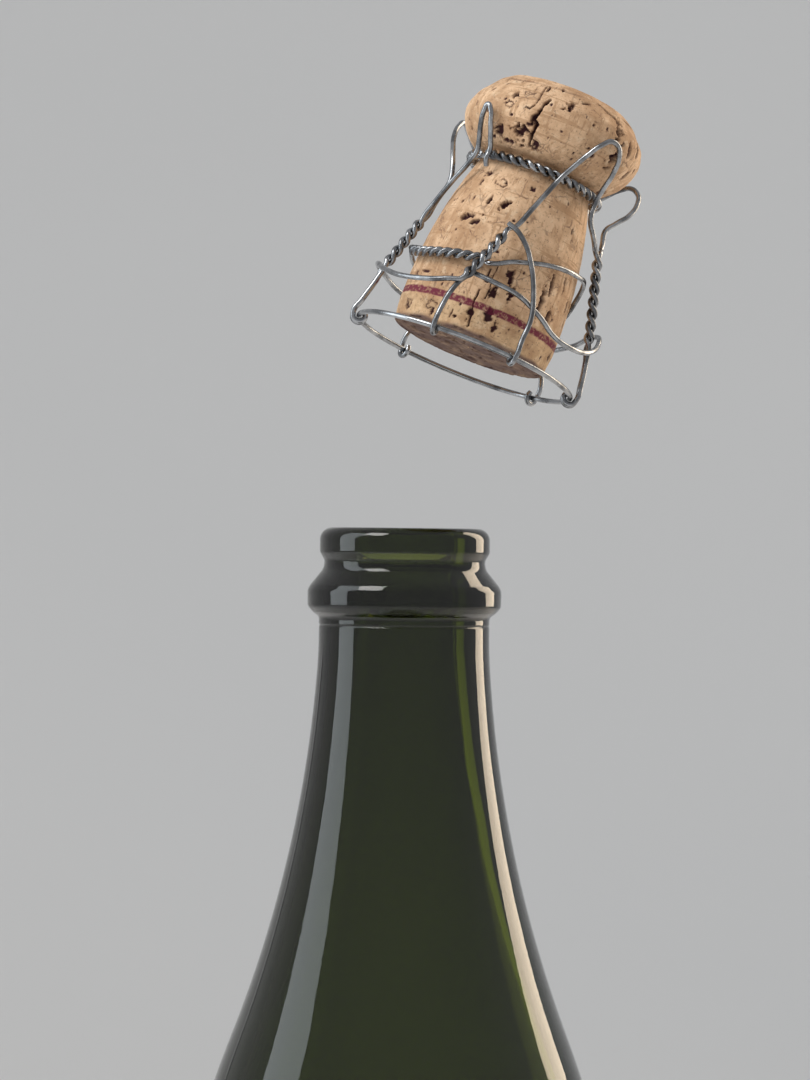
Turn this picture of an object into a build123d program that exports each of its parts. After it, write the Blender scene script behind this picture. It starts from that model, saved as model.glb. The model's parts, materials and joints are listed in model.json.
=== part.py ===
from build123d import *
import math
import os

os.makedirs("parts", exist_ok=True)

# Bottle, sizes in millimetres, heights measured up from the standing face
bottle_height = 288.0
body_radius = 43.0
rim_radius = 14.55
rim_round = 2.1
rim_fall = 4.2
groove_radius = 13.7
groove_top = 5.3
groove_bottom = 6.9
collar_radius = 16.6
collar_top = 10.7
collar_bottom = 13.5
collar_round = 0.9
neck_radius = 14.6
neck_top = 15.0
neck_straight = 18.0
neck_bend = 24.3
turn_depth = 86.0
neck_slope = 4.0
shoulder_slope = 21.0
heel_round = 9.0
standing_width = 5.5
standing_round = 2.0
punt_height = 34.0
punt_dome_radius = 13.0
punt_slope = 60.0

# Bottle hollow
bore_radius = 8.75
bore_round = 0.8
bore_straight = 20.0
hollow_turn_radius = 23.4
body_wall = 4.2
base_wall = 8.0
hollow_heel_round = 6.0
punt_wall = 6.0

# Cork, heights measured along its own axis from the foot face
cork_offset = 10.4
cork_setback = 3.65
cork_lift = 30.95
cork_tilt = 21.0
cork_lean = 6.7
foot_radius = 13.7
foot_round = 0.9
cork_radius = 14.1
cork_swell = 4.0
cork_waist_start = 8.0
waist_radius = 10.2
waist_height = 31.2
crease_radius = 10.1
crease_height = 32.4
head_radius = 16.2
head_height = 39.8
head_side_radius = 15.5
head_side_height = 42.6
bevel_radius = 13.2
bevel_height = 45.3
crown_radius = 11.6
crown_height = 46.4
cork_height = 47.5
disc_thickness = 6.2

# Wire cage, round the same axis
wire_radius = 0.45
twist_radius = 0.5
ring_radius = 19.4
ring_level = -1.7
cage_height = 32.2
eye_radius = 1.1
neck_ring_radius = 11.5
neck_ring_share = 1.022
neck_ring_turns = 21
neck_ring_gap_angle = 5.0
neck_ring_end_azimuth = 110
neck_ring_steps = 24
belt_turns = 5
belt_wound_steps = 4
leg_turns = 2.5
right_leg_turns = 3.5
front_knot_phase = 90
quarter_turn = 90
slope_step = 0.002

# Azimuths of a leg in degrees: the feet of its two wires, the foot of its knot, the top of its knot
left_leg_azimuths = (-87.6, -92.4, -90, -90)
front_leg_azimuths = (-19, -19, -14.5, -4.5)
right_leg_azimuths = (92.4, 87.6, 90, 86)
back_leg_azimuths = (212, 136, 183, 183)
shin_turn_share = 0.25

axis_side = math.sin(math.radians(cork_tilt)) * math.cos(math.radians(cork_lean))
axis_back = math.sin(math.radians(cork_lean))
axis_up = math.cos(math.radians(cork_tilt)) * math.cos(math.radians(cork_lean))
cork_axis = Vector(axis_side, axis_back, axis_up)
cork_foot = Vector(cork_offset, cork_setback, bottle_height + cork_lift)
cork_right = Vector(0, 1, 0).cross(cork_axis).normalized()
flight = Plane(origin=cork_foot, x_dir=cork_right, z_dir=cork_axis)
cork_section = Plane(origin=cork_foot, x_dir=cork_right, z_dir=cork_right.cross(cork_axis))

# Leg centre lines from the bottom ring upward: share of the cage height, share of the ring radius
leg_foot_share = (0.10, 1.046)
leg_shin_share = (0.21, 1.015)
left_foot_share = (0.10, 1.022)
left_shin_share = (0.21, 0.975)
leg_knot_shares = ((0.31, 0.976), (0.385, 0.943), (0.46, 0.907), (0.53, 0.874), (0.60, 0.840))
left_knot_shares = ((0.31, 0.945), (0.385, 0.905), (0.46, 0.868), (0.53, 0.832), (0.60, 0.795))
right_knot_shares = ((0.31, 0.976), (0.42, 0.930), (0.53, 0.880), (0.64, 0.828), (0.75, 0.778))

# Free wire runs: azimuth in degrees, share of the cage height, share of the ring radius
hoop_one_shares = (
    (-80, 0.730, 0.745),
    (-70, 0.840, 0.708),
    (-60, 0.940, 0.688),
    (-55, 1.015, 0.688),
    (-52.5, 1.075, 0.738),
    (-50, 1.140, 0.808),
    (-47.6, 1.198, 0.858),
    (-44.2, 1.238, 0.882),
    (-41.8, 1.212, 0.870),
    (-41, 1.150, 0.820),
    (-41.2, 1.085, 0.750),
    (-41.8, 1.030, 0.692),
    (-42.5, 0.975, 0.682),
    (-43, 0.948, 0.645),
)
hoop_two_rise_shares = (
    (1, 0.680, 0.775),
    (5.5, 0.780, 0.738),
    (11, 0.890, 0.703),
    (17.5, 1.010, 0.688),
    (21, 1.075, 0.738),
    (25, 1.160, 0.818),
    (29, 1.230, 0.868),
)
hoop_two_fall_shares = (
    (34.5, 1.280, 0.892),
    (40.5, 1.272, 0.890),
    (45.5, 1.222, 0.868),
    (50, 1.145, 0.808),
    (54, 1.060, 0.726),
    (56, 0.990, 0.690),
    (57, 0.900, 0.695),
    (66, 0.825, 0.728),
)
hoop_three_rise_shares = (
    (96, 0.845, 0.775),
    (98, 0.925, 0.757),
    (102, 0.995, 0.835),
    (106, 1.070, 0.935),
    (110, 1.150, 0.995),
    (114.5, 1.215, 1.005),
)
hoop_three_fall_shares = (
    (120, 1.245, 0.965),
    (126, 1.215, 0.910),
    (132, 1.150, 0.850),
    (138, 1.080, 0.766),
    (144, 1.010, 0.690),
    (155, 0.890, 0.705),
    (167, 0.750, 0.745),
)
hoop_four_rise_shares = (
    (197, 0.750, 0.745),
    (205, 0.880, 0.706),
    (213, 1.010, 0.690),
    (219, 1.080, 0.766),
    (225, 1.150, 0.865),
    (231, 1.210, 0.912),
)
hoop_four_fall_shares = (
    (237, 1.245, 0.925),
    (244, 1.200, 0.907),
    (251, 1.120, 0.860),
    (257, 1.035, 0.792),
    (261, 0.955, 0.735),
    (263, 0.880, 0.702),
    (265, 0.750, 0.738),
)
belt_tail_shares = (
    (-24, 0.250, 1.030),
    (-36, 0.222, 1.020),
    (-50, 0.215, 1.015),
    (-68, 0.245, 1.020),
    (-82, 0.285, 1.015),
    (-93, 0.300, 1.015),
    (-107, 0.300, 1.015),
    (-140, 0.270, 1.060),
    (-175, 0.250, 1.078),
    (-212, 0.265, 1.078),
    (-235, 0.330, 1.050),
    (-252, 0.385, 1.040),
    (-268, 0.360, 1.054),
    (-277, 0.295, 1.062),
    (-289, 0.230, 1.046),
    (-303, 0.195, 1.020),
    (-317, 0.200, 0.985),
    (-331, 0.265, 0.958),
    (-345, 0.315, 0.945),
    (-359, 0.330, 0.940),
    (-366, 0.338, 0.912),
    (-373, 0.345, 0.893),
)
upper_belt_shares = (
    (-8, 0.447, 0.784),
    (-25, 0.432, 0.784),
    (-43, 0.414, 0.784),
    (-60, 0.404, 0.784),
    (-76, 0.414, 0.784),
    (-92, 0.430, 0.780),
    (-112, 0.400, 0.780),
    (-140, 0.350, 0.790),
    (-180, 0.326, 0.800),
    (-215, 0.340, 0.800),
    (-243, 0.425, 0.775),
    (-260, 0.530, 0.752),
    (-275, 0.590, 0.748),
    (-300, 0.587, 0.750),
    (-330, 0.550, 0.760),
    (-349, 0.500, 0.774),
    (-368, 0.447, 0.784),
    (-385, 0.432, 0.784),
    (-403, 0.414, 0.784),
    (-420, 0.404, 0.784),
    (-436, 0.414, 0.784),
)
latch_shares = (
    (23, 0.100, 1.052),
    (23.5, 0.210, 1.046),
    (20.5, 0.360, 1.000),
    (15.5, 0.480, 0.955),
    (8, 0.585, 0.920),
    (1, 0.635, 0.902),
    (-4.5, 0.655, 0.882),
)


def write_piece(piece, name):
    piece.label = name
    export_step(piece, f"parts/{name}.step")


# Bottle


def bottle_outline():
    start_lean = math.radians(neck_slope)
    end_lean = math.radians(shoulder_slope)
    bend = (neck_bend - neck_straight) / math.sin(start_lean)
    bend_radius = neck_radius + bend * (1 - math.cos(start_lean))
    sweep_arc = (turn_depth - neck_bend) / (math.sin(end_lean) - math.sin(start_lean))
    turn_radius = bend_radius + sweep_arc * (math.cos(start_lean) - math.cos(end_lean))
    shoulder_arc = (body_radius - turn_radius) / (1 - math.cos(end_lean))
    shoulder_depth = turn_depth + shoulder_arc * math.sin(end_lean)
    return bend_radius, turn_radius, shoulder_depth


def outer_face():
    bend_radius, turn_radius, shoulder_depth = bottle_outline()
    lean = math.radians(punt_slope)
    dome_edge = punt_dome_radius * math.sin(lean)
    dome_drop = punt_height - punt_dome_radius * (1 - math.cos(lean))
    punt_foot = dome_edge + (dome_drop - standing_round) / math.tan(lean)
    standing_inner_radius = body_radius - heel_round - standing_width
    start = (0, bottle_height)
    rim_edge = (rim_radius - rim_round, bottle_height)
    rim_side = (rim_radius, bottle_height - rim_round)
    heel_top = (body_radius, heel_round)
    heel_foot = (body_radius - heel_round, 0)
    down = (0, -1)
    slope_way = (math.sin(math.radians(shoulder_slope)), -math.cos(math.radians(shoulder_slope)))
    neck_way = (math.sin(math.radians(neck_slope)), -math.cos(math.radians(neck_slope)))
    Line(start, rim_edge)
    RadiusArc(rim_edge, rim_side, rim_round)
    Polyline(
        rim_side,
        (rim_radius, bottle_height - rim_fall),
        (groove_radius, bottle_height - groove_top),
        (groove_radius, bottle_height - groove_bottom),
        (collar_radius - collar_round / 2, bottle_height - collar_top + collar_round),
        (collar_radius, bottle_height - collar_top),
        (collar_radius, bottle_height - collar_bottom),
        (collar_radius - collar_round, bottle_height - collar_bottom - collar_round),
        (neck_radius, bottle_height - neck_top),
        (neck_radius, bottle_height - neck_straight),
    )
    TangentArc(
        (neck_radius, bottle_height - neck_straight),
        (bend_radius, bottle_height - neck_bend),
        tangent=down,
    )
    TangentArc(
        (bend_radius, bottle_height - neck_bend),
        (turn_radius, bottle_height - turn_depth),
        tangent=neck_way,
    )
    TangentArc(
        (turn_radius, bottle_height - turn_depth),
        (body_radius, bottle_height - shoulder_depth),
        tangent=slope_way,
    )
    Line((body_radius, bottle_height - shoulder_depth), heel_top)
    RadiusArc(heel_top, heel_foot, heel_round)
    Line(heel_foot, (standing_inner_radius, 0))
    Line((standing_inner_radius, 0), (punt_foot, standing_round))
    Line((punt_foot, standing_round), (dome_edge, dome_drop))
    TangentArc(
        (dome_edge, dome_drop),
        (0, punt_height),
        tangent=(-math.cos(lean), math.sin(lean)),
    )
    Line((0, punt_height), start)


def hollow_face():
    start_lean = math.radians(neck_slope)
    end_lean = math.radians(shoulder_slope)
    lean = math.radians(punt_slope)
    inner_radius = body_radius - body_wall
    arc = (inner_radius - hollow_turn_radius) / (1 - math.cos(end_lean))
    shoulder_depth = turn_depth + arc * math.sin(end_lean)
    heel_centre = inner_radius - hollow_heel_round
    heel_level = base_wall + hollow_heel_round
    cone_foot = heel_centre - hollow_heel_round * math.sin(lean)
    cone_level = heel_level - hollow_heel_round * math.cos(lean)
    dome_radius = punt_dome_radius + punt_wall
    dome_edge = dome_radius * math.sin(lean)
    dome_drop = cone_level + (cone_foot - dome_edge) * math.tan(lean)
    dome_top = dome_drop + dome_radius * (1 - math.cos(lean))
    mouth_top = bottle_height + rim_round
    Polyline(
        (0, dome_top),
        (0, mouth_top),
        (bore_radius, mouth_top),
        (bore_radius, bottle_height - bore_straight),
    )
    TangentArc(
        (bore_radius, bottle_height - bore_straight),
        (hollow_turn_radius, bottle_height - turn_depth),
        tangent=(math.sin(start_lean), -math.cos(start_lean)),
    )
    TangentArc(
        (hollow_turn_radius, bottle_height - turn_depth),
        (inner_radius, bottle_height - shoulder_depth),
        tangent=(math.sin(end_lean), -math.cos(end_lean)),
    )
    Line((inner_radius, bottle_height - shoulder_depth), (inner_radius, heel_level))
    TangentArc((inner_radius, heel_level), (cone_foot, cone_level), tangent=(0, -1))
    Line((cone_foot, cone_level), (dome_edge, dome_drop))
    TangentArc(
        (dome_edge, dome_drop),
        (0, dome_top),
        tangent=(-math.cos(lean), math.sin(lean)),
    )


def make_bottle():
    with BuildPart() as bottle:
        with BuildSketch(Plane.XZ):
            with BuildLine():
                outer_face()
            make_face()
        revolve(axis=Axis.Z)
        with BuildSketch(Plane.XZ):
            with BuildLine():
                hollow_face()
            make_face()
        revolve(axis=Axis.Z, mode=Mode.SUBTRACT)
        mouth = bottle.edges().filter_by(GeomType.CIRCLE).group_by(Axis.Z)[-1].sort_by(SortBy.RADIUS)[0]
        fillet(mouth, bore_round)
    return bottle.part


# Cork


def cork_face():
    Line((0, 0), (foot_radius - foot_round / 2, 0))
    Line((foot_radius - foot_round / 2, 0), (foot_radius, foot_round))
    Line((foot_radius, foot_round), (cork_radius, cork_swell))
    Line((cork_radius, cork_swell), (cork_radius, cork_waist_start))
    TangentArc((cork_radius, cork_waist_start), (waist_radius, waist_height), tangent=(0, 1))
    Line((waist_radius, waist_height), (crease_radius, crease_height))
    ThreePointArc(
        (crease_radius, crease_height),
        (head_radius, head_height),
        (head_side_radius, head_side_height),
    )
    Line((head_side_radius, head_side_height), (bevel_radius, bevel_height))
    Line((bevel_radius, bevel_height), (crown_radius, crown_height))
    dome = (crown_radius**2 + (cork_height - crown_height) ** 2) / (2 * (cork_height - crown_height))
    RadiusArc((crown_radius, crown_height), (0, cork_height), -dome)
    Line((0, cork_height), (0, 0))


def make_cork(low, high):
    span = cork_height + disc_thickness
    with BuildPart() as cork:
        with BuildSketch(cork_section):
            with BuildLine():
                cork_face()
            make_face()
            with BuildLine():
                Polyline((0, low), (span, low), (span, high), (0, high), close=True)
            make_face(mode=Mode.INTERSECT)
        revolve(axis=Axis(cork_foot, cork_axis))
    return cork.part


# Wires: a station is (azimuth, height, radius, reach, phase)
# Reach and phase set the wire off its centre line, so that two wires wind round one line


def station(azimuth, share, reach=0, phase=0):
    return azimuth, ring_level + share[0] * cage_height, share[1] * ring_radius, reach, phase


def free_run(shares):
    return [station(azimuth, (rise, spread)) for azimuth, rise, spread in shares]


def eye(azimuth):
    diagonal = eye_radius * math.sqrt(0.5)
    corners = (
        (-diagonal, diagonal),
        (-eye_radius, 0),
        (-diagonal, -diagonal),
        (0, -eye_radius),
        (diagonal, -diagonal),
        (eye_radius, 0),
    )
    return [(azimuth, ring_level + up, ring_radius + out, 0, 0) for out, up in corners]


def knot(azimuth, azimuth_top, shares, turns, phase):
    steps = len(shares) - 1
    stations = []
    for index, share in enumerate(shares):
        part = index / steps
        turned = phase - 360 * turns * (1 - part)
        stations.append(station(azimuth + (azimuth_top - azimuth) * part, share, twist_radius, turned))
    return stations


def leg(azimuths, wire, shares, turns, phase=0):
    left = shares is left_knot_shares
    foot = azimuths[wire]
    low, high = azimuths[2:]
    stations = eye(foot)
    stations.append(station(foot, left_foot_share if left else leg_foot_share))
    shin = foot + (low - foot) * shin_turn_share
    stations.append(station(shin, left_shin_share if left else leg_shin_share))
    return stations + knot(low, high, shares, turns, 180 * (1 - wire) - phase)


def chord_slope(stations, lengths, index, item):
    return (stations[index + 1][item] - stations[index][item]) / (lengths[index + 1] - lengths[index])


def knot_end(stations, index, step):
    beside = index + step
    if beside < 0 or beside == len(stations):
        return True
    return stations[index][3] > 0 and stations[beside][3] == 0


def slope(stations, lengths, index, item):
    if knot_end(stations, index, -1):
        return chord_slope(stations, lengths, index, item)
    if knot_end(stations, index, 1):
        return chord_slope(stations, lengths, index - 1, item)
    before = lengths[index] - lengths[index - 1]
    after = lengths[index + 1] - lengths[index]
    back = chord_slope(stations, lengths, index - 1, item)
    ahead = chord_slope(stations, lengths, index, item)
    return (back * after + ahead * before) / (before + after)


def eased(stations, lengths, index, part, item):
    span = lengths[index + 1] - lengths[index]
    square = part * part
    cube = square * part
    return (
        (2 * cube - 3 * square + 1) * stations[index][item]
        + (cube - 2 * square + part) * slope(stations, lengths, index, item) * span
        + (3 * square - 2 * cube) * stations[index + 1][item]
        + (cube - square) * slope(stations, lengths, index + 1, item) * span
    )


def centre(stations, lengths, place):
    index = min(int(place), len(stations) - 2)
    part = place - index
    azimuth, height, radius = (eased(stations, lengths, index, part, item) for item in range(3))
    turn = math.radians(azimuth)
    return Vector(radius * math.sin(turn), -radius * math.cos(turn), height)


def turned_phase(start, end, part):
    if start[3] == 0:
        return end[4]
    if end[3] == 0:
        return start[4]
    return start[4] * (1 - part) + end[4] * part


def wire_point(stations, lengths, place):
    index = min(int(place), len(stations) - 2)
    part = place - index
    here = centre(stations, lengths, place)
    ease = part * part * (3 - 2 * part)
    reach = stations[index][3] * (1 - ease) + stations[index + 1][3] * ease
    if reach == 0:
        return here
    phase = math.radians(turned_phase(stations[index], stations[index + 1], part))
    low = max(place - slope_step, 0)
    high = min(place + slope_step, len(stations) - 1)
    along = (centre(stations, lengths, high) - centre(stations, lengths, low)).normalized()
    radial = Vector(here.X, here.Y, 0).normalized()
    side = along.cross(radial).normalized()
    around = Vector(-radial.Y, radial.X, 1)
    if side.dot(around) < 0:
        side = -side
    outward = side.cross(along)
    if outward.dot(radial) < 0:
        outward = -outward
    return here + (side * math.cos(phase) + outward * math.sin(phase)) * reach


def run_lengths(stations):
    lengths = [0.0]
    for one, two in zip(stations, stations[1:]):
        arc = math.radians(two[0] - one[0]) * (one[2] + two[2]) / 2
        lengths.append(lengths[-1] + math.hypot(arc, two[1] - one[1], two[2] - one[2]))
    return lengths


def wire_route(stations):
    lengths = run_lengths(stations)
    last = len(stations) - 1
    places = []
    for index in range(last):
        start = stations[index]
        end = stations[index + 1]
        turned = abs(turned_phase(start, end, 1) - turned_phase(start, end, 0))
        count = max(1, math.ceil(turned / quarter_turn))
        places += [index + step / count for step in range(count)]
    places.append(last)
    route = []
    for place in places:
        low = flight.from_local_coords(wire_point(stations, lengths, max(place - slope_step, 0)))
        high = flight.from_local_coords(wire_point(stations, lengths, min(place + slope_step, last)))
        spot = flight.from_local_coords(wire_point(stations, lengths, place))
        route.append((spot, (high - low).normalized()))
    return route


def arc_joint(start, way, end, away):
    chord = end - start
    both = way + away
    spread = 2 * (1 - way.dot(away))
    slant = chord.dot(both)
    if spread < slope_step * slope_step:
        reach = chord.dot(chord) / (2 * slant)
    else:
        reach = (math.sqrt(slant * slant + spread * chord.dot(chord)) - slant) / spread
    return (start + way * reach + end - away * reach) / 2


def lay_arc(start, end, way):
    chord = (end - start).normalized()
    if chord.cross(way).length < slope_step:
        Line(start, end)
    else:
        TangentArc(start, end, tangent=way)


def lay_route(route):
    for (start, way), (end, away) in zip(route, route[1:]):
        joint = arc_joint(start, way, end, away)
        lay_arc(start, joint, way)
        chord = joint - start
        reach = chord.normalized()
        onward = reach * (2 * reach.dot(way)) - way
        lay_arc(joint, end, onward)


def make_wire(stations):
    route = wire_route(stations)
    with BuildPart() as wire:
        with BuildLine() as path:
            lay_route(route)
        with BuildSketch(Plane(origin=route[0][0], z_dir=route[0][1])):
            Circle(wire_radius)
        sweep(path=path.wire())
    return wire.part


def neck_ring(phase):
    share = (neck_ring_share, neck_ring_radius / ring_radius)
    first = neck_ring_end_azimuth + neck_ring_gap_angle / 2
    whole = 360 - neck_ring_gap_angle
    stations = []
    for index in range(neck_ring_steps + 1):
        part = index / neck_ring_steps
        turned = phase + 360 * neck_ring_turns * part
        stations.append(station(first + whole * part, share, twist_radius, turned))
    return stations


def upper_belt():
    last = len(upper_belt_shares) - 1
    stations = []
    for index, (azimuth, rise, spread) in enumerate(upper_belt_shares):
        reach = twist_radius
        turned = 0
        if index <= belt_wound_steps:
            turned = 360 * belt_turns * index / belt_wound_steps
        elif index >= last - belt_wound_steps:
            turned = 180 + 360 * belt_turns * (index - last + belt_wound_steps) / belt_wound_steps
        else:
            reach = 0
        stations.append(station(azimuth, (rise, spread), reach, turned))
    return stations


def cage_routes():
    front_partner = knot(*front_leg_azimuths[2:], leg_knot_shares, leg_turns, -front_knot_phase)
    hoop_one = leg(left_leg_azimuths, 1, left_knot_shares, leg_turns)
    hoop_one += free_run(hoop_one_shares)
    hoop_two = leg(front_leg_azimuths, 0, leg_knot_shares, leg_turns, front_knot_phase)
    hoop_two += free_run(hoop_two_rise_shares + hoop_two_fall_shares)
    hoop_two += leg(right_leg_azimuths, 0, right_knot_shares, right_leg_turns)[::-1]
    hoop_three = leg(right_leg_azimuths, 1, right_knot_shares, right_leg_turns)
    hoop_three += free_run(hoop_three_rise_shares + hoop_three_fall_shares)
    hoop_three += leg(back_leg_azimuths, 0, leg_knot_shares, leg_turns)[::-1]
    hoop_four = leg(back_leg_azimuths, 1, leg_knot_shares, leg_turns)
    hoop_four += free_run(hoop_four_rise_shares + hoop_four_fall_shares)
    round_left = [azimuth + 360 for azimuth in left_leg_azimuths]
    hoop_four += leg(round_left, 0, left_knot_shares, leg_turns)[::-1]
    lower_belt = front_partner[::-1] + free_run(belt_tail_shares)
    latch = eye(latch_shares[0][0]) + free_run(latch_shares)
    return {
        "hoop_wire_front_left": hoop_one,
        "hoop_wire_front_right": hoop_two,
        "hoop_wire_back_right": hoop_three,
        "hoop_wire_back_left": hoop_four,
        "neck_ring_wire_first": neck_ring(0),
        "neck_ring_wire_second": neck_ring(180),
        "upper_belt_wire": upper_belt(),
        "lower_belt_wire": lower_belt,
        "latch_bow_wire": latch,
    }


def make_bottom_ring():
    with BuildPart() as ring:
        with BuildSketch(cork_section):
            with Locations((ring_radius, ring_level)):
                Circle(wire_radius)
        revolve(axis=Axis(cork_foot, cork_axis))
    return ring.part


write_piece(make_bottle(), "bottle_glass")
write_piece(make_cork(disc_thickness, cork_height), "cork_body")
write_piece(make_cork(0, disc_thickness), "cork_disc")
write_piece(make_bottom_ring(), "bottom_ring_wire")
cage = cage_routes()
for wire_name, wire_stations in cage.items():
    write_piece(make_wire(wire_stations), wire_name)
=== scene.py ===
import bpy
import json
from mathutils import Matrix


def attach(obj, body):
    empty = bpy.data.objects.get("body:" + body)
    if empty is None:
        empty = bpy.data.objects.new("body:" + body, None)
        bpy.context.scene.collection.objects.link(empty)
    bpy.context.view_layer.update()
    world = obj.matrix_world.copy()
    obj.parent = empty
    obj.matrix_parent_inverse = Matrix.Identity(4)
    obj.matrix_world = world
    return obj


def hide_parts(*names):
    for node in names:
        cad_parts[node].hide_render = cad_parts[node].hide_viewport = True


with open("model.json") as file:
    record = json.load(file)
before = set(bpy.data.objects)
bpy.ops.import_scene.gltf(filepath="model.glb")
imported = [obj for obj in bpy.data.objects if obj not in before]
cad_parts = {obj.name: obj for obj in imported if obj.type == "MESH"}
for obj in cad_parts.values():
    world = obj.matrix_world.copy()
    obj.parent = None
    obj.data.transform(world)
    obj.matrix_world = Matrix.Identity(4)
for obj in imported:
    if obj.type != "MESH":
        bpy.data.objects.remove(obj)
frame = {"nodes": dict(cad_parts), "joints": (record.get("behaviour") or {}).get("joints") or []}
"""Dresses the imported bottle, its popped cork and the wire cage, and lights them in a pale studio."""

import json
import logging
from dataclasses import dataclass
from enum import Enum
from math import asin, atan2, ceil, cos, dist, pi, radians, sin, tan
from typing import Callable

import bpy
import numpy as np
from mathutils import Matrix, Vector

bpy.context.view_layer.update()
LOG = logging.getLogger("bottle_scene")
Point = tuple[float, float]
Profile = list[Point]
Triple = tuple[float, float, float]
Socket = bpy.types.NodeSocket
Array = np.ndarray
FLOAT, COLOUR, VECTOR = "NodeSocketFloat", "NodeSocketColor", "NodeSocketVector"
METRE, MM = 1000, 0.001
HASH_X, HASH_Y, HASH_Z, HASH_MIX = (np.uint64(n) for n in (73856093, 19349663, 83492791, 1274126177))
HASH_SEED = 2654435761
LAYER_FADE = 0.55
STRAIGHT, SHORTEST_ROUND, SHORTEST_CHORD = 1e-9, 1e-7, 1e-8


class Slot(Enum):
    """The record's material slots for the pieces that are built here."""

    GLASS = "green_glass"
    CORK = "cork_grain"
    STAINED = "cork_stained"


# Numbers that vary over a surface


def lattice_noise(points: Array, scale: float, seed: int) -> Array:
    """Gives smooth noise on a lattice of hashed values.

    Args:
        points: places in space, one row each.
        scale: size of one lattice cell, in the unit of the points.
        seed: number that picks the pattern.

    Returns:
        One value from -1 to 1 for each place.
    """
    cells = points / scale
    base = np.floor(cells).astype(np.int64)
    part = cells - base
    part = part * part * (3 - 2 * part)
    total = np.zeros(len(points))
    for corner in range(8):
        step = np.array([corner & 1, corner >> 1 & 1, corner >> 2 & 1])
        cell = (base + step).astype(np.uint64)
        code = cell[:, 0] * HASH_X ^ cell[:, 1] * HASH_Y
        code = code ^ cell[:, 2] * HASH_Z ^ np.uint64(seed * HASH_SEED)
        code = (code ^ code >> np.uint64(13)) * HASH_MIX
        code = code ^ code >> np.uint64(16)
        value = (code % np.uint64(65536)).astype(float) / 32767.5 - 1
        weight = np.prod(np.where(step == 1, part, 1 - part), axis=1)
        total += value * weight
    return total


def layered_noise(points: Array, scale: float, seed: int, layers: int) -> Array:
    """Adds finer and fainter layers of lattice noise.

    Args:
        points: places in space, one row each.
        scale: cell size of the coarsest layer.
        seed: number that picks the pattern.
        layers: how many layers are added.

    Returns:
        One value of about -1 to 1 for each place.
    """
    total = np.zeros(len(points))
    strength = 1.0
    whole = 0.0
    for layer in range(layers):
        total += strength * lattice_noise(points, scale / 2**layer, seed + layer)
        whole += strength
        strength *= LAYER_FADE
    return total / whole


def ramp(values: Array, low: float, high: float) -> Array:
    """Eases values from 0 at low to 1 at high."""
    part = np.clip((values - low) / (high - low), 0, 1)
    return part * part * (3 - 2 * part)


def turn_from(angle: Array, middle: float) -> Array:
    """Gives the shorter turn from one angle to each of the others."""
    return (angle - middle + pi) % (2 * pi) - pi


def from_front(azimuth: float) -> float:
    """Turns degrees round from the front into the angle that the meshes use."""
    return radians(azimuth - 90)


def in_space(radius: Array, angle: Array, height: Array) -> Array:
    """Turns radius, angle and height into places, one row each."""
    return np.stack([radius * np.cos(angle), radius * np.sin(angle), height], 1)


# Outlines that are turned round an axis


def tangent_arc(start: Point, end: Point, way: Point, steps: int) -> Profile:
    """Samples the arc that leaves start along way and reaches end.

    Args:
        start: first point.
        end: last point.
        way: direction at the first point.
        steps: number of chords.

    Returns:
        The points after start, up to and with end.
    """
    first, last = Vector(start), Vector(end)
    along = Vector(way).normalized()
    chord = last - first
    side = Vector((-along.y, along.x))
    across = chord.dot(side)
    if abs(across) < STRAIGHT:
        return [tuple(first.lerp(last, (k + 1) / steps)) for k in range(steps)]
    radius = chord.length_squared / (2 * across)
    centre = first + side * radius
    sweep = 2 * atan2(across, chord.dot(along))
    spoke = first - centre
    points = []
    for k in range(steps):
        turn = sweep * (k + 1) / steps
        x, y = spoke.x * cos(turn) - spoke.y * sin(turn), spoke.x * sin(turn) + spoke.y * cos(turn)
        points.append((centre.x + x, centre.y + y))
    return points


def arc_chain(start: Point, *legs: tuple[Point, Point | None, int]) -> Profile:
    """Chains arcs and straight lines.

    Args:
        start: the first point.
        legs: each leg's end, the way in which its arc sets out, None for a line, and its chords.

    Returns:
        The points, from start on.
    """
    points = [start]
    for end, way, steps in legs:
        points += tangent_arc(start, end, way, steps) if way else [end]
        start = end
    return points


def eased_corners(corners: list[Triple], steps: int = 6) -> Profile:
    """Rounds the corners of a line of points.

    Args:
        corners: radius, height and corner round of each point.
        steps: chords on each round.

    Returns:
        The points of the line with its rounds.
    """
    points = [corners[0][:2]]
    for before, here, after in zip(corners, corners[1:], corners[2:]):
        spot = Vector(here[:2])
        back = Vector(before[:2]) - spot
        on = Vector(after[:2]) - spot
        bend = pi - back.angle(on)
        reach = here[2] * tan(bend / 2)
        if here[2] <= 0 or reach < SHORTEST_ROUND:
            points.append(here[:2])
            continue
        reach = min(reach, back.length * 0.49, on.length * 0.49)
        start = spot + back.normalized() * reach
        end = spot + on.normalized() * reach
        points.append(tuple(start))
        points += tangent_arc(tuple(start), tuple(end), tuple(-back.normalized()), steps)
    points.append(corners[-1][:2])
    return points


def evenly(points: Profile, gap: Callable[[Point], float]) -> Profile:
    """Adds points on the long chords of an outline.

    Args:
        points: the outline.
        gap: longest chord allowed near a point.

    Returns:
        The outline with its chords divided.
    """
    dense = [points[0]]
    for one, two in zip(points, points[1:]):
        span = dist(one, two)
        if span < SHORTEST_CHORD:
            continue
        middle = ((one[0] + two[0]) / 2, (one[1] + two[1]) / 2)
        count = max(1, ceil(span / gap(middle)))
        dense += [
            (one[0] + (two[0] - one[0]) * k / count, one[1] + (two[1] - one[1]) * k / count)
            for k in range(1, count + 1)
        ]
    return dense


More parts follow.
